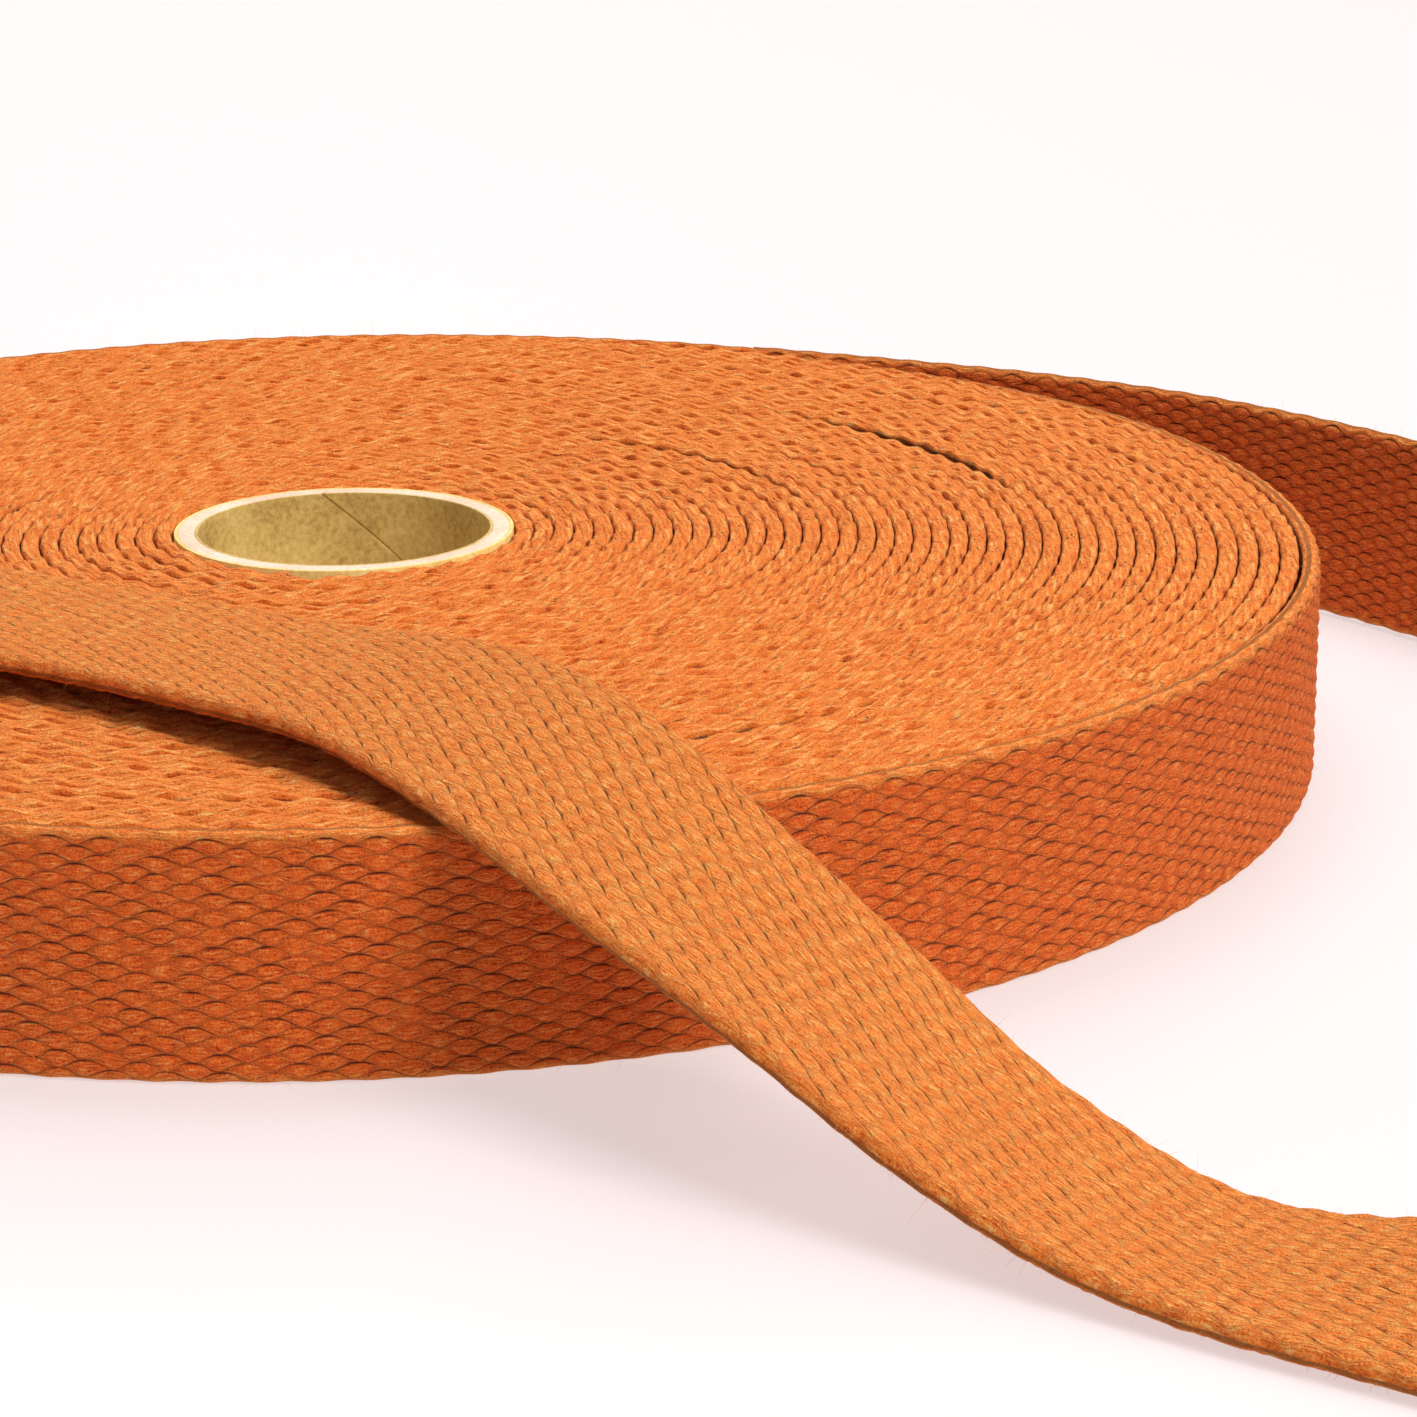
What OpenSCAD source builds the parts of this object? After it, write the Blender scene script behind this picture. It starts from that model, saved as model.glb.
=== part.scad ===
// A roll of woven cotton webbing on a spiral-wound board core, lying flat, with its free tail laid over it.
// Origin: on the core's axis at the roll's bottom face. +Z is up along that axis.
// The webbing is wound clockwise from the core outwards, as seen from above.

/* [Webbing] */
// Width of the webbing, which is the height of the roll
web_w = 30; // [20:1:50]
// Thickness of the webbing, pressed flat in the roll
web_t = 2.4; // [1.2:0.1:3]
// Outer radius of the roll
roll_r = 136; // [120:1:150]
// Whole turns on the roll; the part turn between the two ends is added to them
full_turns = 42; // [30:1:42]

/* [Core] */
// Radius of the core's bore
bore_r = 20.5; // [18:0.5:22]
// Thickness of the kraft paper liner inside the core
liner_t = 0.4; // [0.3:0.1:0.6]
// Thickness of one board ply of the core
ply_t = 0.6; // [0.4:0.1:0.7]
// Thickness of the paper cover around the core
cover_t = 0.5; // [0.3:0.1:0.6]

/* [Ends] */
// Direction from the axis to the cut end that lies on the core, in degrees
start_az = -103; // [-170:1:170]
// Direction from the axis to the place where the tail leaves the roll, in degrees
tail_az = 64; // [40:1:90]
// Clearance between pieces that turn or slide on each other
slip_gap = 0.3; // [0.2:0.05:0.5]

/* [Hidden] */
// Four board plies lie between the liner and the cover.
BOARD_PLIES = 4;
core_r = bore_r + liner_t + BOARD_PLIES * ply_t + cover_t;

// Middle of the webbing's thickness at its two ends, and the growth in each turn.
start_r = core_r + slip_gap + web_t / 2;
tail_r = roll_r - web_t / 2;
end_step = (start_az - tail_az + 360) % 360 / 360;
turns = full_turns + end_step;
pitch = (tail_r - start_r) / turns;

// The wound pack stays inside this radius, so that the outermost turn can slip around it.
pack_r = roll_r - web_t - slip_gap;

// Share of a turn in which the webbing climbs over an end, and the turns over which that step fades out.
CLIMB = 0.1;
FADE = 8;

// Rounding of the webbing's long edges, and the depth of the grooves that it leaves between the turns.
EDGE_ROUND = 0.7;
GROOVE = 1;

// Corners in each turn of the pack, around the outermost turn, and around a tube of the core.
TURN_STEPS = 36;
RING_STEPS = 180;
TUBE_SIDES = 96;

// The bands of the pack, as turns counted outwards from the core. The seams are at the looser turns.
INNER_BAND = [1, 16];
MIDDLE_BAND = [16, 27];
// The pack ends this share of the last climb before the tail's exit.
LAST_CLIMB = 0.6;
// The outermost turn starts a little past the tail's exit, where its thinned end has room.
LAP_AZ = 4;
FEATHER_T = 0.25;

// The tail's route beyond the roll: x, y and z of its middle, and its tilt about its own line.
// At 90 degrees the webbing stands on edge, and at 0 it lies flat with its outer face up.
ROUTE = [
    [84, 110, 15.2, 90],
    [107, 98, 15.2, 91],
    [129, 82, 15.2, 92],
    [148, 62, 15.2, 93],
    [164, 41, 15.2, 93],
    [182, 14, 15.2, 92],
    [200, -16, 15.2, 90],
    [215, -50, 15.2, 90],
    [226, -88, 15.2, 90],
    [232, -128, 15.2, 90],
    [231, -167, 15.2, 87],
    [220, -195, 15.2, 79],
    [198, -214, 14.2, 61],
    [169, -223, 11, 38],
    [143, -217, 6.6, 20],
    [119, -202, 3.6, 7],
    [98, -187, 2.6, -2],
    [80, -172, 8.5, -2],
    [64, -158, 18, 2],
    [48, -143, 27, 8],
    [32, -125, 34.5, 12],
    [16, -105, 36.5, 9],
    [-3, -87, 35, 4],
    [-23, -72, 34.5, 3],
    [-45, -61, 35, 3],
    [-66, -49, 34.5, 3],
    [-90, -34, 33.5, 2],
    [-112, -18, 32.5, 1],
];
// Rings of the tail's tube between two points of its route.
ROUTE_STEPS = 2;

// Smooth rise from 0 to 1.
function ease(x) = let (c = min(max(x, 0), 1)) c * c * (3 - 2 * c);
function fraction(x) = x - floor(x);

// How far the webbing is wound outwards, in turns, at s turns from its start. Near the core it hugs the core
// and then climbs over its own cut end; near the tail it steps out to the surface as the tail leaves.
function wound(s) =
    let (inside = fraction(s),
         outside = 1 - fraction(turns - s),
         near_core = max(0, 1 - floor(s) / FADE),
         near_tail = max(0, 1 - floor(turns - s) / FADE))
    s + near_core * (ease((inside - 1 + CLIMB) / CLIMB) - inside)
      + near_tail * (ease(outside / CLIMB) - outside);
function turn_r(s) = start_r + pitch * wound(s);
function turn_az(s) = tail_az + 360 * (turns - s);
function polar(r, az) = [r * cos(az), r * sin(az)];

// One tube of the core, standing on the ground plane.
module ply(inner_r, thickness) {
    difference() {
        cylinder(h = web_w, r = inner_r + thickness, $fn = TUBE_SIDES);
        translate([0, 0, -1]) cylinder(h = web_w + 2, r = inner_r, $fn = TUBE_SIDES);
    }
}

// The wound webbing between two places on its length, in turns. The turns press on each other face to face,
// so they are one body between the grooves that their rounded edges leave at the top and the bottom.
function face_points(from, to, offset) =
    let (steps = ceil((to - from) * TURN_STEPS - 0.001))
    [for (i = [0:steps])
        let (s = from + (to - from) * i / steps)
        polar(min(turn_r(s) + offset, pack_r), turn_az(s))];
function reversed(points) = [for (i = [len(points) - 1:-1:0]) points[i]];

module turn_edges(from, to) {
    linear_extrude(GROOVE)
        polygon(concat(face_points(from, to, web_t / 2 - EDGE_ROUND / 2),
                       reversed(face_points(from, to, EDGE_ROUND / 2 - web_t / 2))));
}

module wound_band(from, to) {
    // A band of one turn keeps the webbing's own thickness, so that its two ends stay apart.
    reach = to - from > 1 ? pitch / 2 : web_t / 2;
    translate([0, 0, GROOVE]) linear_extrude(web_w - 2 * GROOVE) difference() {
        polygon(face_points(to - 1, to, reach));
        polygon(face_points(from, from + 1, -reach));
    }
    for (z = [0, web_w - GROOVE]) translate([0, 0, z]) turn_edges(from, to);
}

// A point of the tail's route, with the roll's own edge as its first one.
tail_start = concat(polar(tail_r, tail_az), [web_w / 2 + 0.2, 90]);
route_points = concat([tail_start], ROUTE);
last = len(route_points) - 1;
function route_point(i) =
    i < 0 ? 2 * route_points[0] - route_points[1] :
    i > last ? 2 * route_points[last] - route_points[last - 1] : route_points[i];

// Smooth curve through the route's points, at i whole points and a share t of the next.
function along(i, t) =
    let (a = route_point(i - 1), b = route_point(i), c = route_point(i + 1), d = route_point(i + 2))
    (2 * b + (c - a) * t + (2 * a - 5 * b + 4 * c - d) * t * t + (3 * b - a - 3 * c + d) * t * t * t) / 2;
function unit(v) = v / norm(v);

// Cross-section of the tail as half-width and half-thickness offsets, going round.
half_w = web_w / 2;
half_t = web_t / 2;
SECTION = [
    [half_w, -half_t + EDGE_ROUND], [half_w, half_t - EDGE_ROUND], [half_w - EDGE_ROUND, half_t],
    [EDGE_ROUND - half_w, half_t], [-half_w, half_t - EDGE_ROUND], [-half_w, EDGE_ROUND - half_t],
    [EDGE_ROUND - half_w, -half_t], [half_w - EDGE_ROUND, -half_t],
];

function tail_ring(here, before, after) =
    let (way = unit([for (k = [0:2]) after[k] - before[k]]),
         side = unit([way[1], -way[0], 0]),
         rise = cross(side, way),
         across = side * cos(here[3]) + rise * sin(here[3]),
         outward = cross(across, way),
         middle = [for (k = [0:2]) here[k]])
    [for (p = SECTION) middle + across * p[0] + outward * p[1]];

module tail_tube() {
    stations = concat([for (i = [0:last - 1], k = [0:ROUTE_STEPS - 1]) along(i, k / ROUTE_STEPS)],
                      [route_points[last]]);
    n = len(stations);
    // The first ring lies flush with the roll, so it looks along the roll's own edge.
    before_first = concat(polar(tail_r, tail_az + 1), [tail_start[2], tail_start[3]]);
    after_first = concat(polar(tail_r, tail_az - 1), [tail_start[2], tail_start[3]]);
    rings = [for (i = [0:n - 1])
        tail_ring(stations[i],
                  i == 0 ? before_first : stations[i - 1],
                  i == 0 ? after_first : stations[min(i + 1, n - 1)])];
    sides = len(SECTION);
    points = [for (ring = rings) for (p = ring) p];
    walls = [for (i = [0:n - 2], k = [0:sides - 1])
        let (a = i * sides + k, b = i * sides + (k + 1) % sides) [a, b, b + sides, a + sides]];
    polyhedron(points = points,
               faces = concat([[for (k = [sides - 1:-1:0]) k]], walls,
                              [[for (k = [0:sides - 1]) (n - 1) * sides + k]]));
}

module core_liner() {
    color("tan") ply(bore_r, liner_t);
}

module core_board_ply(number) {
    color("bisque") ply(bore_r + liner_t + (number - 1) * ply_t, ply_t);
}

module core_cover() {
    color("khaki") ply(core_r - cover_t, cover_t);
}

module first_turn() {
    color("chocolate") wound_band(0, INNER_BAND[0]);
}

module inner_turns() {
    color("sandybrown") wound_band(INNER_BAND[0], INNER_BAND[1]);
}

module middle_turns() {
    color("peru") wound_band(MIDDLE_BAND[0], MIDDLE_BAND[1]);
}

// The outer band ends where the webbing has climbed out to the outermost turn.
module outer_turns() {
    color("sandybrown") wound_band(MIDDLE_BAND[1], turns - 1 + CLIMB * LAST_CLIMB);
}

// A turn that can slip around the pack. Its start is thinned where it comes up from the turn below.
module outermost_turn() {
    inner_r = pack_r + slip_gap;
    from = turns - 1 + LAP_AZ / 360;
    at = [for (i = [0:RING_STEPS]) from + (turns - from) * i / RING_STEPS];
    outer_face = [for (s = at)
        polar(max(turn_r(min(s, turns - 0.0001)) + web_t / 2, inner_r + FEATHER_T), turn_az(s))];
    inner_face = [for (i = [RING_STEPS:-1:0]) polar(inner_r, turn_az(at[i]))];
    color("chocolate") linear_extrude(web_w) polygon(concat(outer_face, inner_face));
}

module free_tail() {
    color("darkorange") tail_tube();
}

core_liner();
core_board_ply(1);  // core_board_ply_1
core_board_ply(2);  // core_board_ply_2
core_board_ply(3);  // core_board_ply_3
core_board_ply(4);  // core_board_ply_4
core_cover();
first_turn();
inner_turns();
middle_turns();
outer_turns();
outermost_turn();
free_tail();
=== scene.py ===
import math

import bpy
import numpy as np
from mathutils import Matrix, Vector


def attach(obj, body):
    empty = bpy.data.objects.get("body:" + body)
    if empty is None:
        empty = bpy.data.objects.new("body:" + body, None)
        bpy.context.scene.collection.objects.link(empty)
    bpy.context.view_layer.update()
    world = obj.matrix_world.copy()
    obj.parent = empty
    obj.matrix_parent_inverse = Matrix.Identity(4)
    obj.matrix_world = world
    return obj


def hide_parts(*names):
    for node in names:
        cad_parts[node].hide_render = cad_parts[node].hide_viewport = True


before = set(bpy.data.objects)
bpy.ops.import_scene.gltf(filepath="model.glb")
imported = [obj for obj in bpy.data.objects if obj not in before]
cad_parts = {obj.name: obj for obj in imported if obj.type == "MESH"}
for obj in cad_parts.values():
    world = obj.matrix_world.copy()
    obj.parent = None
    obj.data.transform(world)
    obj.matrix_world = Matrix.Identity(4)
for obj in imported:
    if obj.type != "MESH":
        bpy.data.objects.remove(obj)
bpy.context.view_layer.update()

# The webbing and the roll, in metres. The roll lies on the floor with its axis on z, and the webbing is
# wound clockwise outwards, as seen from above.
WEB_W = 0.030
WEB_T = 0.0024
MIDDLE_Z = WEB_W / 2
BORE_R = 0.0205
LINER_T = 0.0004
PLIES_T = 0.0024
COVER_T = 0.0005
CORE_R = 0.0238
ROLL_R = 0.136
SLIP_GAP = 0.0003
START_R = CORE_R + SLIP_GAP + WEB_T / 2
TAIL_R = ROLL_R - WEB_T / 2
START_AZ = -103
TAIL_AZ = 64
TURNS = 42 + (START_AZ - TAIL_AZ + 360) % 360 / 360
PITCH = (TAIL_R - START_R) / TURNS
PACK_R = ROLL_R - WEB_T - SLIP_GAP
# Share of a turn in which the webbing climbs over an end, and the turns over which that step fades out.
CLIMB = 0.1
FADE = 8
# The pack ends part of the way up its last climb, and the outermost turn starts a little past the place
# where the tail leaves, by this many degrees.
PACK_TURNS = TURNS - 1 + 0.06
LAP_AZ = 4

# The weave: floats shaped like lenses, in rows that are half a float out of step. The mesh has a station
# eight times in each float, and four places across each row, at which CROWN gives the share of its height.
FLOAT_L = 0.0061
ROWS = 28
ROW_W = WEB_W / ROWS
STATION = FLOAT_L / 8
ACROSS_FLOAT = (0, 0.16, 0.5, 0.84)
CROWN = (0, 0.62, 1, 0.62)
EDGE_R = 0.0012
# Height of the floats on the tail and on the roll, and how far along a float the tail's openings lean.
TAIL_FLOAT = 0.00037
ROLL_FLOAT = 0.00027
TAIL_LEAN = -1.2

# The webbing's long edges, as they show on the roll's top and bottom: the places across its thickness at
# which they are shaped, as shares of the half-thickness, and the strands that slant over them.
BEAD = np.array([1, 0.9, 0.66, 0.4, 0.13, -0.13, -0.4, -0.66, -0.9, -1])
FOOT = np.array([-1, -0.5, 0.5, 1])
STRAND_SLANT = 0.17
STRAND_STEP = 0.0040
STRAND_STRETCH = 0.45
BEAD_GAP = 0.00003

# The tail's route beyond the roll: x, y and z of its middle, and its tilt about its own line in degrees.
# At 90 degrees it stands on edge, and at 0 it lies flat with its outer face up.
ROUTE = [
    (0.084, 0.110, 0.0152, 90), (0.107, 0.098, 0.0152, 91), (0.129, 0.082, 0.0152, 92),
    (0.148, 0.062, 0.0152, 93), (0.164, 0.041, 0.0152, 93), (0.182, 0.014, 0.0152, 92),
    (0.200, -0.016, 0.0152, 90), (0.215, -0.050, 0.0152, 90), (0.226, -0.088, 0.0152, 90),
    (0.232, -0.128, 0.0152, 90), (0.231, -0.167, 0.0152, 87), (0.220, -0.195, 0.0152, 79),
    (0.198, -0.214, 0.0142, 61), (0.169, -0.223, 0.0110, 38), (0.143, -0.217, 0.0066, 20),
    (0.119, -0.202, 0.0036, 7), (0.098, -0.187, 0.0026, -2), (0.080, -0.172, 0.0085, -2),
    (0.064, -0.158, 0.0180, 2), (0.048, -0.143, 0.0270, 8), (0.032, -0.125, 0.0345, 12),
    (0.016, -0.105, 0.0365, 9), (-0.003, -0.087, 0.0350, 4), (-0.023, -0.072, 0.0345, 3),
    (-0.045, -0.061, 0.0350, 3), (-0.066, -0.049, 0.0345, 3), (-0.090, -0.034, 0.0335, 2),
    (-0.112, -0.018, 0.0325, 1),
]
# The tail is lifted off the floor by this much, over this share of the last turn.
TAIL_LIFT = 0.0002
LIFT_TURN = 0.05
# Length in which the tail turns from the roll's own edge into its route.
FLUSH_L = 0.02


def camera():
    """Eye level a little above the roll, close in front of it."""
    data = bpy.data.cameras.new("camera")
    data.lens = 108.8
    data.sensor_width = 36
    data.clip_start, data.clip_end = 0.01, 10
    eye = bpy.data.objects.new("camera", data)
    bpy.context.collection.objects.link(eye)
    down, roll = math.radians(16.68), math.radians(-0.28)
    right = Vector((1, 0, 0))
    up = Vector((0, math.sin(down), math.cos(down)))
    level = Matrix((right, up, right.cross(up))).transposed()
    eye.matrix_world = Matrix.Translation((0.0511, -0.5842, 0.1782)) @ (
        level @ Matrix.Rotation(roll, 3, "Z")
    ).to_4x4()
    bpy.context.scene.camera = eye


# ---------------------------------------------------------------- the webbing's line

def ease(x):
    """Smooth rise from 0 to 1."""
    c = np.clip(x, 0, 1)
    return c * c * (3 - 2 * c)


def wound(s):
    """How far the webbing is wound outwards, in turns, at s turns from its start."""
    inside = s - np.floor(s)
    left = TURNS - s
    outside = 1 - (left - np.floor(left))
    near_core = np.maximum(0, 1 - np.floor(s) / FADE)
    near_tail = np.maximum(0, 1 - np.floor(left) / FADE)
    return (
        s
        + near_core * (ease((inside - 1 + CLIMB) / CLIMB) - inside)
        + near_tail * (ease(outside / CLIMB) - outside)
    )


# Turns that were wound less tightly: the inner one of the two turns, the middle of the gap as a direction
# in degrees, its half-length in degrees, and how far it opens.
LOOSE = [
    (15, 36, 26, 0.0011),
    (27, 33, 21, 0.0024),
    (32, -60, 12, 0.0008),
    (1, -142, 20, 0.0008),
    (9, 150, 24, 0.0006),
    (22, 205, 18, 0.0007),
]
# The turns over which the push beside a loose turn dies away.
SLACK = 2.5


def slack(s):
    """How far the webbing is pushed in or out beside the loose turns, in metres."""
    push = np.zeros_like(s)
    for turn, middle_az, half, opening in LOOSE:
        middle = turn + (START_AZ - middle_az) % 360 / 360
        away = np.round(s - middle)
        local = (s - middle - away) * 360 / half
        window = np.where(np.abs(local) < 1, np.cos(np.clip(local, -1, 1) * math.pi / 2) ** 0.8, 0)
        inner = -np.exp(np.minimum(away, 0) / SLACK)
        outer = np.exp(-np.maximum(away - 1, 0) / SLACK)
        push += opening / 2 * window * np.where(away <= 0, inner, outer)
    return push


def turn_r(s):
    """Radius of the webbing's middle at s turns from its start."""
    return START_R + PITCH * wound(s)


def turn_angle(s):
    """Direction from the axis at s turns from the webbing's start."""
    return np.radians(TAIL_AZ + 360 * (TURNS - s))


# The webbing's own length at each place on the roll, from its start on the core.
FINE_S = np.linspace(0, TURNS, 60000)
FINE_L = np.concatenate([[0], np.cumsum(np.diff(FINE_S) * 2 * math.pi * turn_r(FINE_S[1:]))])
WOUND_LENGTH = FINE_L[-1]


def drift(place, seed, wave):
    """A smooth random curve between about -1 and 1 that wanders over the given wavelength."""
    draw = np.random.default_rng(seed)
    total = np.zeros_like(place)
    for _ in range(4):
        own_wave = wave * draw.uniform(0.6, 1.7)
        total += np.sin(2 * math.pi * place / own_wave + draw.uniform(0, 6.3))
    return total / 2.2


def roll_frames(start, end):
    """The webbing between two places on the roll, in turns: at each station its length from the start, its
    middle, its directions across and outward, and its place in turns."""
    length = np.interp([start, end], FINE_S, FINE_L)
    steps = max(2, round((length[1] - length[0]) / STATION))
    place = np.linspace(length[0], length[1], steps + 1)
    s = np.interp(place, FINE_L, FINE_S)
    angle = turn_angle(s)
    outward = np.stack([np.cos(angle), np.sin(angle), np.zeros_like(s)], -1)
    r = turn_r(np.minimum(s, TURNS - 1e-6))
    r = np.where(s < TURNS - 1, r + slack(s), r)
    lift = TAIL_LIFT * ease((s - TURNS + LIFT_TURN) / LIFT_TURN)
    middle = outward * r[:, None]
    middle[:, 2] = MIDDLE_Z + lift
    across = np.broadcast_to([0.0, 0.0, 1.0], middle.shape)
    return place, middle, across, outward, s


def unit(v):
    """The same directions, each with a length of 1."""
    return v / np.linalg.norm(v, axis=-1, keepdims=True)


def tail_frames():
    """The free tail: at each station its length from the webbing's start, its middle, its directions across
    and outward, and its length from the roll."""
    tail = math.radians(TAIL_AZ)
    first = (TAIL_R * math.cos(tail), TAIL_R * math.sin(tail), MIDDLE_Z + TAIL_LIFT, 90)
    points = np.array([first, *ROUTE])
    points = np.vstack([2 * points[0] - points[1], points, 2 * points[-1] - points[-2]])
    t = np.linspace(0, 1, 60, endpoint=False)[:, None]
    curve = []
    for a, b, c, d in zip(points, points[1:], points[2:], points[3:]):
        curve.append((2 * b + (c - a) * t + (2 * a - 5 * b + 4 * c - d) * t**2
                      + (3 * b - a - 3 * c + d) * t**3) / 2)
    curve = np.vstack([*curve, points[-2][None]])
    strides = np.linalg.norm(np.diff(curve[:, :3], axis=0), axis=1)
    along = np.concatenate([[0], np.cumsum(strides)])
    steps = round(along[-1] / STATION)
    place = np.linspace(0, along[-1], steps + 1)
    curve = np.stack([np.interp(place, along, column) for column in curve.T], -1)
    middle, tilt = curve[:, :3], np.radians(curve[:, 3])[:, None]
    way = np.gradient(middle, axis=0)
    # The first ring lies flush with the roll's own edge.
    flush = np.array([math.sin(tail), -math.cos(tail), 0])
    mix = ease(1 - place / FLUSH_L)[:, None]
    way = unit(unit(way) * (1 - mix) + flush * mix)
    side = unit(np.stack([way[:, 1], -way[:, 0], np.zeros(len(way))], -1))
    rise = np.cross(side, way)
    across = side * np.cos(tilt) + rise * np.sin(tilt)
    return WOUND_LENGTH + place, middle, across, np.cross(across, way), place


# ---------------------------------------------------------------- the weave

def lens_face(place, height, seed, lean, sharp, tips):
    """One woven face at every station: its places across the webbing, its height above the ground weave,
    its row coordinate and its painted shade, which darkens the places between the floats. The openings
    between the floats are widest where a border crests, or a little beside that by the lean, and sharp
    makes them shorter. The share that tips gives opens at the floats' tips too."""
    # Lengths over which the weave's unevenness wanders, wobbles and opens.
    wander, wobble, patchy = 0.03, 0.007, 0.012
    draw = np.random.default_rng(seed)
    turn = 2 * math.pi * place / FLOAT_L
    borders, opening = [], []
    for k in range(ROWS + 1):
        line = np.full_like(place, -WEB_W / 2 + k * ROW_W)
        gap = np.full_like(place, 0.3)
        if 0 < k < ROWS:
            wave = 0.46 + 0.03 * drift(place, draw.integers(1 << 30), wander)
            phase = turn + math.pi * (k % 2) + 0.32 * drift(place, draw.integers(1 << 30), wander)
            line += wave * ROW_W * (np.cos(phase) - 0.12 * np.cos(2 * phase))
            line += 0.05 * ROW_W * drift(place, draw.integers(1 << 30), wobble)
            gap = (1 - tips) * (0.5 + 0.5 * np.cos(phase - lean)) ** sharp
            gap += tips * (0.8 + 0.2 * np.cos(2 * (phase - lean)))
            gap *= np.clip(0.85 + 0.35 * drift(place, draw.integers(1 << 30), patchy), 0.15, 1)
        borders.append(line)
        opening.append(gap)
    w, h, row, hollow = [], [], [], []
    for k in range(ROWS):
        width = borders[k + 1] - borders[k]
        size = np.clip(width / (1.84 * ROW_W), 0.02, 1.2) ** 0.8
        float_number = np.floor(place / FLOAT_L + (0.5 if k % 2 else 0) + 0.5).astype(int)
        float_number -= float_number.min()
        fullness = 0.78 + 0.44 * draw.random(float_number.max() + 1)[float_number]
        for t, crown in zip(ACROSS_FLOAT, CROWN):
            gap = opening[k] * (1 - t) + opening[k + 1] * t
            seam = height * (0.30 - 0.55 * gap)
            w.append(borders[k] + t * width)
            h.append(seam * (1 - crown) + height * crown * size * fullness)
            row.append(np.full_like(place, k + t))
            # Painted shade: darker in the openings between the floats and away from their crowns.
            hollow.append((1 - crown * np.clip(size * 1.25, 0, 1)) * gap * 0.9 + 0.1 * (1 - crown))
    w.append(borders[ROWS])
    h.append(np.zeros_like(place))
    row.append(np.full_like(place, ROWS))
    # Painted shade along the webbing's long edge.
    hollow.append(np.full_like(place, 0.3))
    return [np.stack(column, -1) for column in (w, h, row, hollow)]


def rounded(w):
    """Share of the half-thickness that is left near the webbing's long edges."""
    over = np.clip((np.abs(w) - (WEB_W / 2 - EDGE_R)) / EDGE_R, 0, 1)
    return np.sqrt(1 - over**2)


def scallop(place, w):
    """The long edges swell a little at each float."""
    near = ease((np.abs(w) - (WEB_W / 2 - 0.003)) / 0.003)
    phase = 2 * math.pi * place / FLOAT_L
    return np.sign(w) * near * 0.00008 * np.cos(phase[:, None] + np.where(w > 0, 0, 2.0))


def shaded_face_share(w, face):
    """How much of the cotton's redder, darker shaded copy is painted on as painted shade: all of it on a
    covered face, and none along the long edges, which take the paler lit copy.
    """
    return face * (1 - ease((np.abs(w) - (WEB_W / 2 - 0.0014)) / 0.0010))


def woven_ring(place, height, seed, lean, sharp, tips, shaded_face, inner_height=0.0):
    """Offsets across and outward for a length of webbing: a woven outer face, and an inner face that is
    woven too where inner_height is given."""
    ground = WEB_T / 2 - height * 0.55
    w, h, row, hollow = lens_face(place, height, seed, lean, sharp, tips)
    n = ground * rounded(w) + h * rounded(w) ** 0.5
    if inner_height:
        w2, h2, row2, painted_shade2 = lens_face(
            place + FLOAT_L / 2, inner_height, seed + 1, 0, 0.8, tips)
        n2 = -(WEB_T / 2 - inner_height * 0.55) * rounded(w2) - h2 * rounded(w2) ** 0.5
        back = slice(-2, 0, -1)
        w2, n2, row2, painted_shade2 = w2[:, back], n2[:, back], row2[:, back] + 40, painted_shade2[:, back]
    else:
        # A plain inner face, rounded at its long edges.
        edge, share = np.array([0.00004, 0.00016, 0.0005, 0.0013]), np.array([0.55, 0.86, 0.97, 1])
        w2 = np.concatenate([WEB_W / 2 - edge, edge[::-1] - WEB_W / 2])
        w2 = np.broadcast_to(w2, (len(place), 8))
        n2 = -WEB_T / 2 * np.concatenate([share, share[::-1]]) + 0 * w2
        row2 = n2 / STRAND_STEP + 40
        # Painted shade on the plain inner face, darkest in its middle.
        painted_shade2 = w2 * 0 + np.array([0.1, 0.2, 0.45, 0.8, 0.8, 0.45, 0.2, 0.1])
    # Painted shade and light: the redder, darker shaded copy of the cotton on both faces, on the outer one
    # as far as the caller gives, and the paler lit copy along the long edges.
    dye = np.hstack([shaded_face_share(w, shaded_face), shaded_face_share(w2, 1.0)])
    w, n = np.hstack([w, w2]), np.hstack([n, n2])
    if not inner_height:
        # On the roll this edge lies level with the turns beside it.
        w = np.where(w > 0, w * 0.981, w)
    return w + scallop(place, w), n, np.hstack([row, row2]), np.hstack([hollow, painted_shade2]), dye


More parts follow.
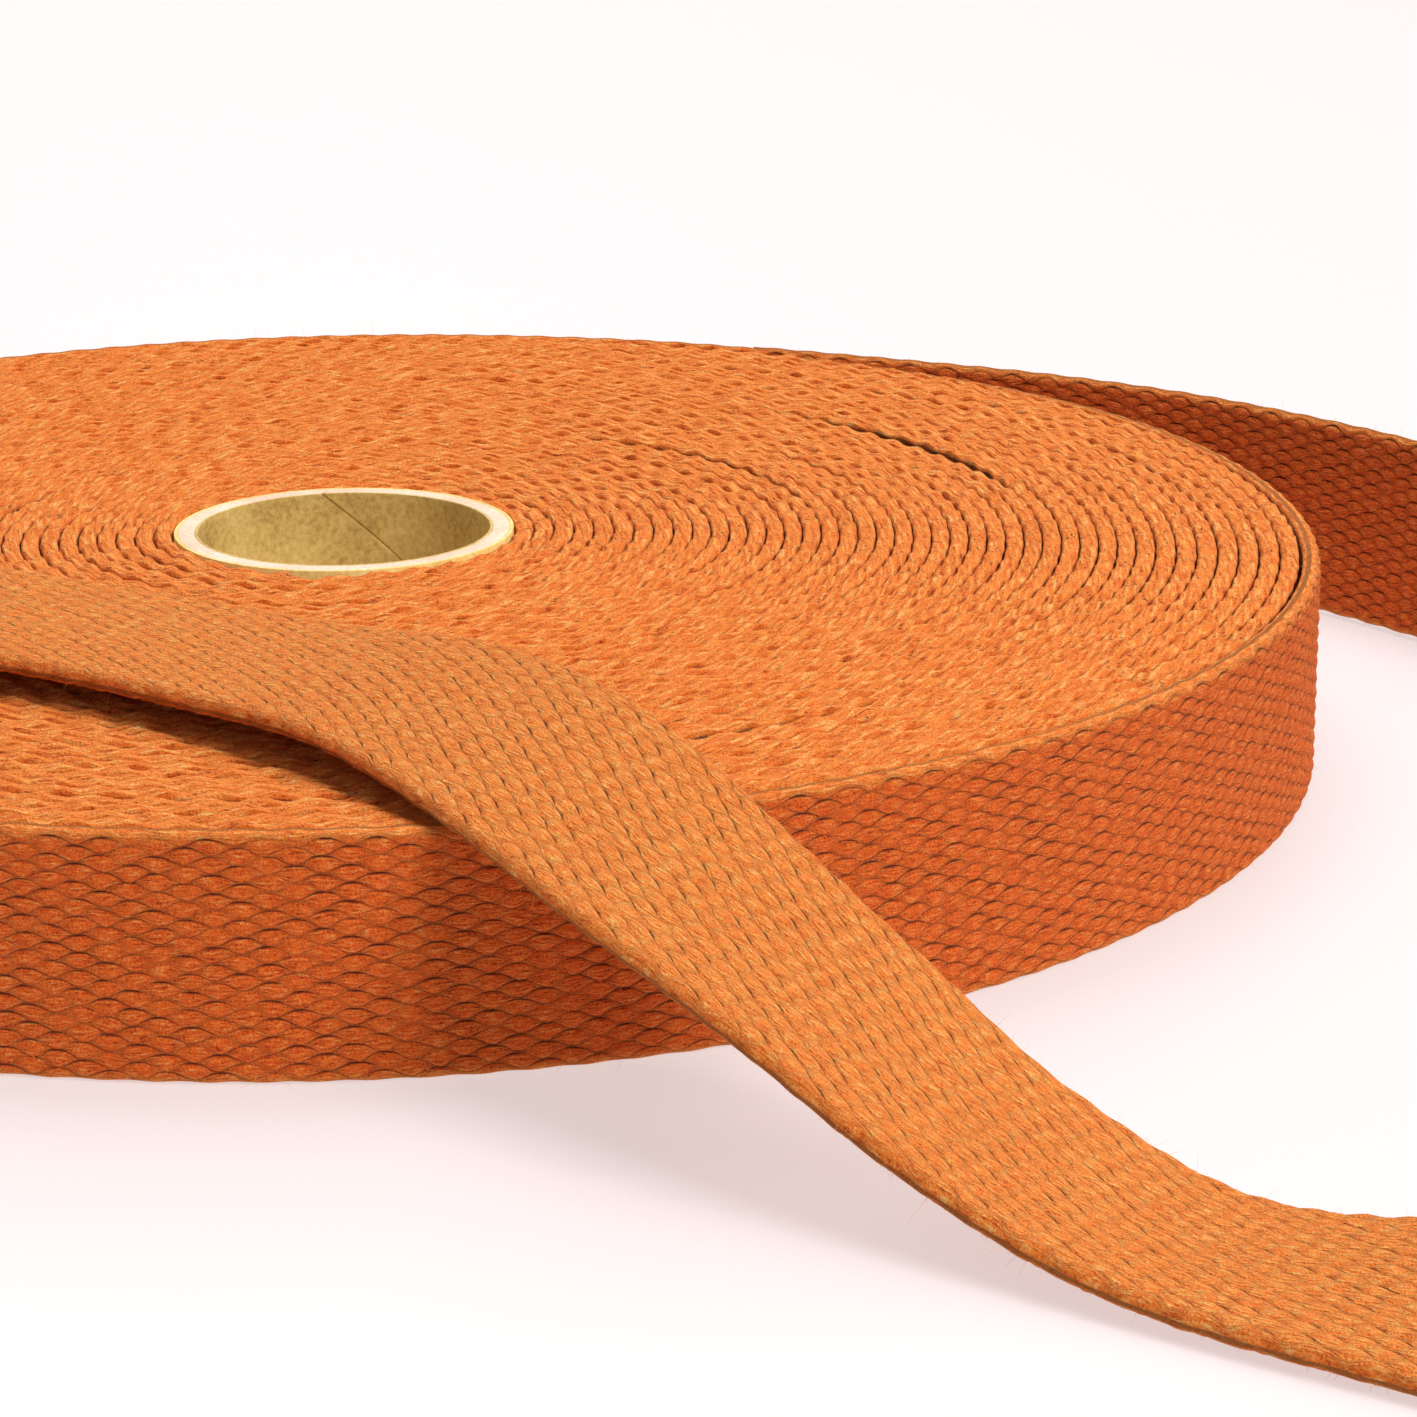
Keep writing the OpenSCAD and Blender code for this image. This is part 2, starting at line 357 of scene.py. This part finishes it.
def bead_ring(place, s):
    """Offsets for a wound turn, whose long edges are the beads that show on the roll's top and bottom.
    Each side of the webbing reaches half way to the turn beside it."""
    inside = np.where(s < 1, WEB_T / 2, (turn_r(s) - turn_r(np.maximum(s - 1, 0))) / 2 - BEAD_GAP)
    beside = (turn_r(np.minimum(s + 1, PACK_TURNS)) - turn_r(s)) / 2 - BEAD_GAP
    outside = np.minimum(np.where(s + 1 < PACK_TURNS, beside, WEB_T / 2), PACK_R - turn_r(s))
    turn = 2 * math.pi * place[:, None] / FLOAT_L

    def spread(share):
        """Offsets outward at shares of the thickness from -1 on the inner face to 1 on the outer one."""
        return (outside - inside)[:, None] / 2 + (outside + inside)[:, None] / 2 * share

    swell = 0.9 + 0.35 * drift(place, 5, 0.021)[:, None]
    pinch = 0.5 + 0.5 * np.cos(turn + 2.2 * np.sign(BEAD))
    at_side = np.abs(BEAD) > 0.95
    n = spread(BEAD * np.where(at_side, 1 - 0.10 * pinch * swell, 1 - 0.07 * pinch))
    crest = np.cos(2 * turn - 5.2 * BEAD + 1.1 * drift(place, 6, 0.03)[:, None])
    ridge = 0.00014 * swell * crest * (1 - 0.6 * BEAD**4)
    knob = 0.00023 * np.cos(turn + 1.4 * BEAD + 0.6 * drift(place, 8, 0.05)[:, None])
    level = 0.00016 * drift(place, 7, 0.11)[:, None]
    side = np.where(at_side, 0.00030 + 0.00038 * pinch * swell, 0)
    w = WEB_W / 2 - 0.00035 - 0.00022 * np.abs(BEAD) ** 3 - side + ridge + knob + level
    # Painted shade: darker at the sides of each bead, between the turns, and in the valleys between the
    # strands' crests and between the knobs.
    furrow = np.clip(-crest - 0.2, 0, 1) * (1 - BEAD**2) - knob * 900
    hollow = np.clip(np.abs(BEAD) ** 12 * (0.36 + 0.4 * pinch) + 0.85 * furrow * swell, 0, 1)
    foot_n = spread(FOOT + 0 * turn)
    foot_w = -WEB_W / 2 + 0.0010 * np.abs(FOOT) ** 2.3 + 0.00012 * (1 + np.cos(turn - 2 * FOOT))
    slant = place[:, None] * STRAND_SLANT
    row = np.hstack([n - slant, foot_n + slant]) / STRAND_STEP
    # The beads take the paler lit copy of the cotton; the feet under the roll take some painted shade and
    # part of the redder shaded copy.
    hollow, dye = np.hstack([hollow, 0.4 + 0 * foot_w]), np.hstack([0 * w, 0.4 + 0 * foot_w])
    return np.hstack([w, foot_w]), np.hstack([n, foot_n]), row, hollow, dye


# ---------------------------------------------------------------- meshes

def mesh_piece(name, points, faces, material, attributes):
    """A mesh from its points, its faces as arrays of point numbers, and its surface attributes."""
    mesh = bpy.data.meshes.new(name)
    corners = np.concatenate([np.asarray(f).ravel() for f in faces])
    sizes = np.concatenate([np.full(len(f), np.asarray(f).shape[1]) for f in faces])
    mesh.vertices.add(len(points))
    mesh.vertices.foreach_set("co", np.asarray(points, dtype=np.float32).ravel())
    mesh.loops.add(len(corners))
    mesh.loops.foreach_set("vertex_index", corners.astype(np.int32))
    mesh.polygons.add(len(sizes))
    starts = np.concatenate([[0], np.cumsum(sizes)[:-1]])
    mesh.polygons.foreach_set("loop_start", starts.astype(np.int32))
    mesh.update(calc_edges=True)
    mesh.validate()
    for key, values in attributes.items():
        values = np.asarray(values, dtype=np.float32)
        kind = "FLOAT_VECTOR" if values.ndim == 2 else "FLOAT"
        layer = mesh.attributes.new(key, kind, "POINT")
        layer.data.foreach_set("vector" if values.ndim == 2 else "value", values.ravel())
    mesh.shade_smooth()
    mesh.materials.append(material)
    piece = bpy.data.objects.new(name, mesh)
    bpy.context.collection.objects.link(piece)
    return piece


def grid_normals(points):
    """The way that a closed tube's surface faces at every point of its rings."""
    around = np.roll(points, -1, 1) - np.roll(points, 1, 1)
    return unit(np.cross(around, np.gradient(points, axis=0)))


def strip_piece(name, frames, ring, body, *nodes, first=0, last=None, stretch=1.0):
    """A closed length of webbing from its frames and its ring of offsets, between two of its stations.
    Its strands are drawn longer where stretch is less than 1."""
    place, middle, across, outward, _ = frames
    w, n, row, hollow, dye = ring
    points = middle[:, None] + across[:, None] * w[..., None] + outward[:, None] * n[..., None]
    part = slice(first, len(place) if last is None else last + 1)
    facing = grid_normals(points)[part].reshape(-1, 3)
    points = points[part]
    stations, count = points.shape[:2]
    a = (np.arange(stations - 1)[:, None] * count + np.arange(count)).reshape(-1)
    b = (np.arange(stations - 1)[:, None] * count + (np.arange(count) + 1) % count).reshape(-1)
    sides = np.stack([a, b, b + count, a + count], -1)
    caps = [np.arange(count)[None, ::-1], (stations - 1) * count + np.arange(count)[None]]
    drawn = np.stack([np.broadcast_to(stretch * place[:, None], w.shape), w, row], -1)
    # Strand coordinates, painted shade, and the share of the cotton's redder shaded copy.
    attributes = {
        "strip": drawn[part].reshape(-1, 3),
        "hollow": hollow[part].reshape(-1),
        "dye": dye[part].reshape(-1),
    }
    piece = mesh_piece(name, points.reshape(-1, 3), [sides, *caps], COTTON, attributes)
    piece.data.normals_split_custom_set_from_vertices(facing.tolist())
    return finished(piece, body, "webbing", *nodes)


def finished(piece, body, slot, *nodes):
    """The piece rides on its body and stands for the given nodes, which it hides; slot is not used."""
    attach(piece, body)
    if nodes:
        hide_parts(*nodes)
    return piece


def lint(name, roots, leaning, seed, body, reach=(0.0004, 0.0015), thick=0.000021):
    """Short loose fibres that stand out from the cotton, each a thin bent three-sided thread."""
    draw = np.random.default_rng(seed)
    count, joints = len(roots), 5
    length = draw.uniform(*reach, count)[:, None]
    way = unit(leaning + draw.normal(0, 0.75, (count, 3)))
    curl = draw.normal(0, 0.55, (count, 3))
    t = np.linspace(0, 1, joints)[:, None, None]
    line = roots - way * 0.0002 + (way * t + curl * t**2) * length
    line[..., 2] = np.maximum(line[..., 2], 0.00005)
    side = unit(np.cross(way, draw.normal(0, 1, (count, 3))))
    other = np.cross(way, side)
    taper = thick * (1 - 0.6 * t)
    corners = (0, 2.094, 4.189)
    rings = [line + (side * math.cos(a) + other * math.sin(a)) * taper for a in corners]
    points = np.stack(rings, 2).transpose(1, 0, 2, 3).reshape(-1, 3)
    base = np.arange(count)[:, None, None] * joints * 3
    low = base + np.arange(joints - 1)[None, :, None] * 3 + np.arange(3)[None, None]
    next_low = base + np.arange(joints - 1)[None, :, None] * 3 + (np.arange(3)[None, None] + 1) % 3
    sides = np.stack([low, next_low, next_low + 3, low + 3], -1).reshape(-1, 4)
    start = np.arange(count) * joints * 3
    caps = np.concatenate([
        np.stack([start + 2, start + 1, start], -1),
        np.stack([start, start + 1, start + 2], -1) + (joints - 1) * 3,
    ])
    piece = mesh_piece(name, points, [sides, caps], FIBRE, {})
    return finished(piece, body, "webbing")


# ---------------------------------------------------------------- materials

class Wire:
    """One socket of a material. Sums on it add Math nodes."""

    def __init__(self, finish, socket):
        self.finish, self.socket = finish, socket

    def sum(self, operation, a, b):
        return self.finish.add("ShaderNodeMath", {"operation": operation}, {0: a, 1: b})

    def __add__(self, other):
        return self.sum("ADD", self, other)

    def __sub__(self, other):
        return self.sum("SUBTRACT", self, other)

    def __rsub__(self, other):
        return self.sum("SUBTRACT", other, self)

    def __mul__(self, other):
        return self.sum("MULTIPLY", self, other)

    __radd__ = __add__
    __rmul__ = __mul__


class Finish:
    """One material, and the nodes that are added to it."""

    def __init__(self, name):
        self.material = bpy.data.materials.new(name)
        self.material.use_nodes = True
        self.tree = self.material.node_tree
        self.tree.nodes.clear()

    def add(self, kind, settings, sockets, output=0):
        """A node of any kind: its settings first, then the values or wires of its sockets."""
        node = self.tree.nodes.new(kind)
        for key, value in settings.items():
            if key == "stops":
                ramp = node.color_ramp.elements
                ramp[0].position, ramp[0].color = value[0]
                ramp[1].position, ramp[1].color = value[-1]
                for position, colour in value[1:-1]:
                    ramp.new(position).color = colour
            else:
                setattr(node, key, value)
        for key, value in sockets.items():
            if isinstance(value, Wire):
                self.tree.links.new(value.socket, node.inputs[key])
            else:
                node.inputs[key].default_value = value
        return Wire(self, node.outputs[output])

    def surface(self, settings):
        """The material, once its shader has these values and wires."""
        shader = self.add("ShaderNodeBsdfPrincipled", {}, settings)
        out = self.tree.nodes.new("ShaderNodeOutputMaterial")
        self.tree.links.new(shader.socket, out.inputs["Surface"])
        return self.material


def tone(red, green, blue):
    """A display colour from 0 to 255 as a linear one."""
    def linear(c):
        c /= 255
        return c / 12.92 if c <= 0.04045 else ((c + 0.055) / 1.055) ** 2.4
    return (linear(red), linear(green), linear(blue), 1)


def cotton(name):
    """Soft spun cotton: strands along each float, fine fuzz, painted shade between the floats, and painted
    lit and shaded copies of its colour.
    """
    f = Finish(name)
    strip = f.add("ShaderNodeAttribute", {"attribute_name": "strip"}, {}, "Vector")
    # Painted shade between the floats, and the share of the redder shaded copy.
    hollow = f.add("ShaderNodeAttribute", {"attribute_name": "hollow"}, {}, "Fac")
    dye = f.add("ShaderNodeAttribute", {"attribute_name": "dye"}, {}, "Fac")
    place = f.add("ShaderNodeTexCoord", {}, {}, "Object")

    def noise(vector, size, scale, detail):
        """Noise on a coordinate that is first stretched by size."""
        stretched = f.add("ShaderNodeMapping", {}, {"Vector": vector, "Scale": size})
        return f.add("ShaderNodeTexNoise", {}, {
            "Vector": stretched, "Scale": scale, "Detail": detail, "Roughness": 0.6}, "Fac")

    def bold(wire, gain):
        """The same noise with more contrast about its middle."""
        return (wire - 0.5) * gain + 0.5

    def over(blend, factor, below, above):
        """One colour blended over another by a factor."""
        return f.add("ShaderNodeMix", {
            "data_type": "RGBA", "blend_type": blend, "clamp_factor": True,
            "clamp_result": blend == "ADD"}, {"Factor": factor, 6: below, 7: above}, 2)

    even = (1, 1, 1)
    strands = bold(noise(strip, (520, 0, 6.5), 1.0, 3), 3.8)
    hairs = bold(noise(strip, (900, 9000, 0), 1.0, 2), 2.4)
    fuzz = bold(noise(place, even, 3400, 2), 4.0)
    blotch = bold(noise(place, even, 420, 3), 2.4)
    patch = bold(noise(place, even, 40, 2), 2.0)
    broken = noise(strip, (900, 0, 1.7), 1.0, 3)
    ruddy = 3.0 * (noise(place, even, 1500, 1) - 0.62)
    # Painted shade in the crevices between the floats, broken up along them.
    crevice_shade_mix = 2.4 * (hollow + 0.3 * broken - 0.56)
    shade = 0.48 * strands + 0.14 * hairs + 0.22 * fuzz + 0.10 * blotch + 0.06 * patch + 0.04
    # A paler, yellower copy of the colour for lit places and a redder, darker copy for shaded ones: painted
    # light and shade.
    lit_colour = f.add("ShaderNodeValToRGB", {"stops": [
        (0.08, tone(158, 56, 12)), (0.34, tone(230, 110, 38)),
        (0.62, tone(247, 138, 55)), (0.95, tone(255, 196, 116))]}, {"Fac": shade}, "Color")
    shaded_colour = f.add("ShaderNodeValToRGB", {"stops": [
        (0.08, tone(124, 28, 6)), (0.32, tone(220, 84, 24)),
        (0.62, tone(244, 108, 34)), (0.95, tone(255, 160, 84))]}, {"Fac": shade}, "Color")
    colour = over("MIX", dye + 0.3 * patch - 0.15, lit_colour, shaded_colour)
    # Where the share of the shaded copy is below nothing, the cotton is painted paler, as a painted
    # highlight.
    colour = over("ADD", -1.6 * dye, colour, tone(166, 104, 54))
    colour = over("MULTIPLY", ruddy, colour, tone(252, 216, 216))
    # The painted shade: dark brown in the crevices.
    colour = over("MIX", crevice_shade_mix, colour, tone(86, 18, 6))
    height = 0.6 * strands + 0.2 * hairs + 0.35 * fuzz + 0.3 * blotch
    bump = f.add("ShaderNodeBump", {}, {
        "Strength": 1.0, "Distance": 0.00034, "Height": height}, "Normal")
    return f.surface({
        "Base Color": colour, "Roughness": 0.92, "Specular IOR Level": 0.18, "Normal": bump,
        "Sheen Weight": 0.25, "Sheen Roughness": 0.45, "Sheen Tint": tone(255, 200, 130)})


def fibre(name):
    """Loose cotton fibres, a little paler than the webbing."""
    f = Finish(name)
    place = f.add("ShaderNodeTexCoord", {}, {}, "Object")
    mix = f.add("ShaderNodeTexNoise", {}, {"Vector": place, "Scale": 300.0, "Detail": 1.0}, "Fac")
    colour = f.add("ShaderNodeValToRGB", {"stops": [
        (0.35, tone(226, 120, 56)), (0.65, tone(252, 186, 128))]}, {"Fac": mix}, "Color")
    return f.surface({"Base Color": colour, "Roughness": 0.8, "Specular IOR Level": 0.2})


def paper(name, dark, middle, pale, coarse, bump_size):
    """Paper or board: a mottled pulp, from its dark flecks to its pale ones."""
    f = Finish(name)
    place = f.add("ShaderNodeTexCoord", {}, {}, "Object")
    pulp = f.add("ShaderNodeTexNoise", {}, {
        "Vector": place, "Scale": coarse, "Detail": 4.0, "Roughness": 0.65}, "Fac")
    cloud = f.add("ShaderNodeTexNoise", {}, {"Vector": place, "Scale": 120.0, "Detail": 2.0}, "Fac")
    colour = f.add("ShaderNodeValToRGB", {"stops": [(0.34, dark), (0.5, middle), (0.68, pale)]}, {
        "Fac": 0.6 * pulp + 0.4 * cloud}, "Color")
    bump = f.add("ShaderNodeBump", {}, {
        "Strength": 0.6, "Distance": bump_size, "Height": pulp}, "Normal")
    return f.surface({
        "Base Color": colour, "Roughness": 0.86, "Specular IOR Level": 0.25, "Normal": bump})


# ---------------------------------------------------------------- pieces

camera()
COTTON = cotton("orange_cotton")
FIBRE = fibre("cotton_fibre")
KRAFT = paper(
    "kraft_paper", tone(170, 136, 72), tone(206, 172, 98), tone(226, 196, 126), 1100.0, 0.0001)
BOARD = paper(
    "pale_board", tone(220, 176, 146), tone(240, 204, 178), tone(250, 224, 202), 1500.0, 0.00015)
COVER = paper(
    "cover_paper", tone(212, 172, 84), tone(240, 206, 124), tone(250, 228, 160), 1200.0, 0.0001)


def free_tail():
    """The tail: a ground weave through its whole length, inside its floats."""
    frames = tail_frames()
    place = frames[0]
    # Next to the roll the tail takes the redder, darker shaded copy of the cotton as painted shade, which
    # fades out along it into a paler copy, a painted highlight.
    shading_fades, palest = 0.15, 0.22
    shading_along = (1 + palest) * ease(1 - (place[:, None] - place[0]) / shading_fades) - palest
    ring = woven_ring(place, TAIL_FLOAT, 31, TAIL_LEAN, 2.0, 0.12, shading_along, TAIL_FLOAT)
    total = len(place) - 1
    joins = [0, round(total * 0.3), round(total * 0.6), total]
    sleeves = [
        strip_piece(f"tail_weave_{number}", frames, ring, "free_end", "free_tail",
                    first=first, last=last)
        for number, (first, last) in enumerate(zip(joins, joins[1:]), 1)
    ]
    corner = np.array([(-1, -1), (-1, 1), (1, 1), (1, -1)])
    every = slice(None, None, 4)
    sparse = tuple(x[every] for x in frames)
    flat = np.ones((len(sparse[0]), 1))
    # Inside the floats: an even, slight painted shade and the shaded copy of the cotton.
    ground = strip_piece("tail_ground_weave", sparse, (
        flat * corner[:, 0] * (WEB_W / 2 - 0.0006), flat * corner[:, 1] * 0.0004,
        flat * [10, 20, 30, 40], flat * np.full(4, 0.5), flat * np.ones(4)),
        "free_end", "free_tail")
    return frames, ring, sleeves, ground


def outermost_turn():
    """The turn that can slip round the pack, in two halves."""
    frames = roll_frames(TURNS - 1 + LAP_AZ / 360, TURNS)
    # Its outer face takes all of the redder, darker shaded copy of the cotton, as painted shade.
    ring = woven_ring(frames[0], ROLL_FLOAT, 11, 0, 0.35, 0.45, 1.0)
    half = len(frames[0]) // 2
    for number, (first, last) in enumerate([(0, half), (half, len(frames[0]) - 1)], 1):
        strip_piece(f"outermost_turn_{number}", frames, ring, "free_end", "outermost_turn",
                    first=first, last=last)
    return frames, ring


def wound_turns():
    """The turns of the pack, in the bands of the frame."""
    bands = [
        ("first_turn_weave", 0, 1, "first_turn"),
        ("inner_turns_weave", 1, 16, "inner_turns"),
        ("middle_turns_weave_1", 16, 22, "middle_turns"),
        ("middle_turns_weave_2", 22, 27, "middle_turns"),
        ("outer_turns_weave_1", 27, 35, "outer_turns"),
        ("outer_turns_weave_2", 35, TURNS - 1 + CLIMB * 0.6, "outer_turns"),
    ]
    for name, first, last, node in bands:
        frames = roll_frames(first, last)
        strip_piece(name, frames, bead_ring(frames[0], frames[4]), "wound_roll", node,
                    stretch=STRAND_STRETCH)


tail_line, tail_ring, tail_sleeves, tail_ground = free_tail()
TAIL_LENGTH = float(tail_line[0][-1] - tail_line[0][0])
turn_line, turn_ring = outermost_turn()
wound_turns()


def surface_points(frames, ring, seed, count, pick):
    """Random places on a length of webbing, with the way that the surface faces there."""
    draw = np.random.default_rng(seed)
    place, middle, across, outward, _ = frames
    w, n = ring[:2]
    i = draw.integers(0, len(place), count)
    k = pick(draw, w.shape[1], count)
    root = middle[i] + across[i] * w[i, k][:, None] + outward[i] * n[i, k][:, None]
    edgeways = (w[i, k] / (WEB_W / 2))[:, None] ** 9
    facing = unit(across[i] * edgeways + outward[i] * np.sign(n[i, k])[:, None])
    return root, facing


def fuzz():
    """Loose fibres on the tail, on the outermost turn and on the roll's top."""
    edge = ROWS * 4

    def anywhere(draw, around, count):
        return draw.integers(0, around, count)

    def near_edges(draw, around, count):
        spot = np.where(draw.random(count) < 0.5, 0, edge) + draw.integers(-6, 7, count)
        return spot % around

    on_tail, on_turn, on_top = 2600, 1800, 3000
    tail_lint = lint(
        "tail_fibres", *surface_points(tail_line, tail_ring, 41, on_tail, anywhere), 42, "free_end")
    edge_lint = lint(
        "tail_edge_fibres", *surface_points(tail_line, tail_ring, 43, on_tail, near_edges), 44,
        "free_end")
    lint(
        "outermost_turn_fibres", *surface_points(turn_line, turn_ring, 45, on_turn, near_edges), 46,
        "free_end")
    draw = np.random.default_rng(47)
    r = np.sqrt(draw.uniform(0.026**2, 0.133**2, on_top))
    a = draw.uniform(0, 2 * math.pi, on_top)
    top = np.stack([r * np.cos(a), r * np.sin(a), np.full(on_top, WEB_W - 0.0003)], -1)
    upward = np.broadcast_to([0.0, 0.0, 1.0], top.shape)
    lint("roll_top_fibres", top, upward, 48, "wound_roll", (0.0003, 0.0008))
    return [tail_lint, edge_lint]


def yarn_ends(name, frames, station, way, seed, body, reach):
    """The cut ends of the webbing's own yarns, in two layers, sticking out a little at a cut end."""
    _, middle, across, outward, _ = frames
    layer, stray, yarn_r = 0.0005, 0.0002, 0.00021
    draw = np.random.default_rng(seed)
    w = np.tile((np.arange(ROWS) + 0.5) * ROW_W - WEB_W / 2, 2)
    n = np.repeat([-layer, layer], ROWS) + draw.uniform(-stray, stray, 2 * ROWS)
    roots = middle[station] + across[station] * w[:, None] + outward[station] * n[:, None]
    return lint(name, roots, np.broadcast_to(2.5 * way, roots.shape), seed, body, reach, yarn_r)


tail_fibres = fuzz()
tail_way = unit(tail_line[1][-1] - tail_line[1][-2])
tail_fibres.append(
    yarn_ends("tail_end_yarns", tail_line, -1, tail_way, 51, "free_end", (0.0006, 0.0024)))
start_line = roll_frames(0, 1)
start_way = unit(start_line[1][0] - start_line[1][1])
yarn_ends(
    "first_turn_end_yarns", start_line, 0, start_way, 52, "wound_roll", (0.0005, 0.0012))


# ---------------------------------------------------------------- the core

# Sides of its tubes, how much shorter they are than the webbing is wide, and the softness of their rims.
TUBE_SIDES = 144
END_GAP = 0.0001
PAPER_RIM = 0.00008
BOARD_RIM = 0.00015


def deselect():
    """Nothing is selected, and nothing is being edited."""
    if bpy.context.object and bpy.context.object.mode != "OBJECT":
        bpy.ops.object.mode_set(mode="OBJECT")
    bpy.ops.object.select_all(action="DESELECT")


def pick(piece):
    """The piece alone is selected."""
    deselect()
    piece.select_set(True)
    bpy.context.view_layer.objects.active = piece


def apply_all(piece):
    """The piece's modifiers and its place go into its mesh."""
    pick(piece)
    for modifier in list(piece.modifiers):
        bpy.ops.object.modifier_apply(modifier=modifier.name)
    bpy.ops.object.transform_apply(location=True, rotation=True, scale=True)


def tube(name, radius, wall, sides, rings, rim):
    """An upright tube round the axis, radius at its inside, with its rims softened."""
    deselect()
    bpy.ops.mesh.primitive_cylinder_add(
        vertices=sides, radius=radius, depth=WEB_W - END_GAP, end_fill_type="NOTHING",
        location=(0, 0, WEB_W / 2))
    piece = bpy.context.object
    piece.name = piece.data.name = name
    bpy.ops.object.mode_set(mode="EDIT")
    bpy.ops.mesh.select_all(action="SELECT")
    bpy.ops.mesh.bisect(plane_co=(0, 0, WEB_W / 2), plane_no=(0, 0, 1))
    for ring in range(1, rings):
        bpy.ops.mesh.select_all(action="SELECT")
        bpy.ops.mesh.bisect(plane_co=(0, 0, WEB_W * ring / rings), plane_no=(0, 0, 1))
    bpy.ops.object.mode_set(mode="OBJECT")
    wall_of = piece.modifiers.new("wall", "SOLIDIFY")
    wall_of.thickness, wall_of.offset = wall, 1
    soft = piece.modifiers.new("rim", "BEVEL")
    soft.width, soft.segments, soft.limit_method, soft.angle_limit = rim, 2, "ANGLE", 0.9
    return piece


# The liner's paper strip is wound at a slant: how far it turns over the core's height, and the direction of
# its seam from the axis, at mid-height. The seam is a groove of this width to a side and this depth.
LINER_TWIST = math.radians(97.8)
SEAM_AZ = 55
SEAM_W = 0.00034
SEAM_DEPTH = 0.0003


def open_seam(liner):
    """The narrow groove where the liner's strip meets itself, upright until the liner is twisted."""
    def on_seam(v):
        """Whether a point stands on the seam's line, within a tenth of a degree."""
        return abs(math.degrees(math.atan2(v.co.y, v.co.x)) - SEAM_AZ) < 0.1

    mesh = liner.data
    pick(liner)
    for edge in mesh.edges:
        edge.select = all(on_seam(mesh.vertices[v]) for v in edge.vertices)
    bpy.ops.object.mode_set(mode="EDIT")
    bpy.ops.mesh.select_mode(type="EDGE")
    bpy.ops.mesh.bevel(offset=SEAM_W, segments=2)
    bpy.ops.object.mode_set(mode="OBJECT")
    for v in mesh.vertices:
        if on_seam(v):
            v.co.x *= 1 + SEAM_DEPTH / BORE_R
            v.co.y *= 1 + SEAM_DEPTH / BORE_R


def core():
    """The liner, the board and the cover of the core, each a tube of its own."""
    liner = tube("liner", BORE_R, LINER_T, TUBE_SIDES, 24, PAPER_RIM)
    open_seam(liner)
    twist = liner.modifiers.new("helix", "SIMPLE_DEFORM")
    twist.deform_method, twist.deform_axis = "TWIST", "Z"
    twist.angle = LINER_TWIST
    liner.modifiers.move(len(liner.modifiers) - 1, 0)
    liner.data.materials.append(KRAFT)
    apply_all(liner)
    board = tube("board_plies", BORE_R + LINER_T, PLIES_T, TUBE_SIDES, 4, BOARD_RIM)
    board.data.materials.append(BOARD)
    apply_all(board)
    cover = tube("cover", CORE_R - COVER_T, COVER_T, TUBE_SIDES, 4, PAPER_RIM)
    cover.data.materials.append(COVER)
    apply_all(cover)
    for piece, slot, nodes in (
        (liner, "kraft_liner", ["core_liner"]),
        (board, "core_board", [f"core_board_ply_{n}" for n in (1, 2, 3, 4)]),
        (cover, "core_cover", ["core_cover"]),
    ):
        pick(piece)
        bpy.ops.object.shade_smooth_by_angle(angle=math.radians(40))
        finished(piece, "core", slot, *nodes)


core()


# ---------------------------------------------------------------- floor and light

def studio():
    """The floor, a pale light table that keeps the shadows on it faint, and the lamps over it."""
    f = Finish("pale_floor")
    f.surface({
        "Base Color": tone(152, 146, 147), "Roughness": 0.4, "Specular IOR Level": 0.3,
        "Emission Color": tone(255, 244, 242), "Emission Strength": 0.62})
    deselect()
    bpy.ops.mesh.primitive_plane_add(size=8, location=(0, 1.5, -0.00015))
    floor = bpy.context.object
    floor.name = "floor"
    floor.data.materials.append(f.material)
    world = bpy.data.worlds.new("room")
    world.use_nodes = True
    # The room looks white, and gives only a little light of its own.
    nodes, links = world.node_tree.nodes, world.node_tree.links
    seen = nodes.new("ShaderNodeLightPath")
    strength = nodes.new("ShaderNodeMix")
    strength.inputs["A"].default_value, strength.inputs["B"].default_value = 0.30, 1.0
    links.new(seen.outputs["Is Camera Ray"], strength.inputs["Factor"])
    links.new(strength.outputs["Result"], nodes["Background"].inputs["Strength"])
    nodes["Background"].inputs["Color"].default_value = (1, 1, 1, 1)
    bpy.context.scene.world = world
    for name, place, aim, size, power in (
        ("overhead", (0.0, 0.5, 1.6), (0.0, 0.1, 0), 1.0, 16.8),
        ("right", (0.85, -0.75, 0.8), (0, 0, 0.02), 0.5, 13.0),
        ("far_floor", (-0.2, 1.3, 1.1), (0.0, 1.1, 0), 1.2, 10.0),
    ):
        data = bpy.data.lights.new(name, "AREA")
        data.shape, data.size, data.energy = "SQUARE", size, power
        lamp = bpy.data.objects.new(name, data)
        bpy.context.collection.objects.link(lamp)
        lamp.location = place
        lamp.rotation_euler = (Vector(aim) - Vector(place)).to_track_quat("-Z", "Y").to_euler()
    bpy.context.scene.view_settings.view_transform = "Standard"


studio()
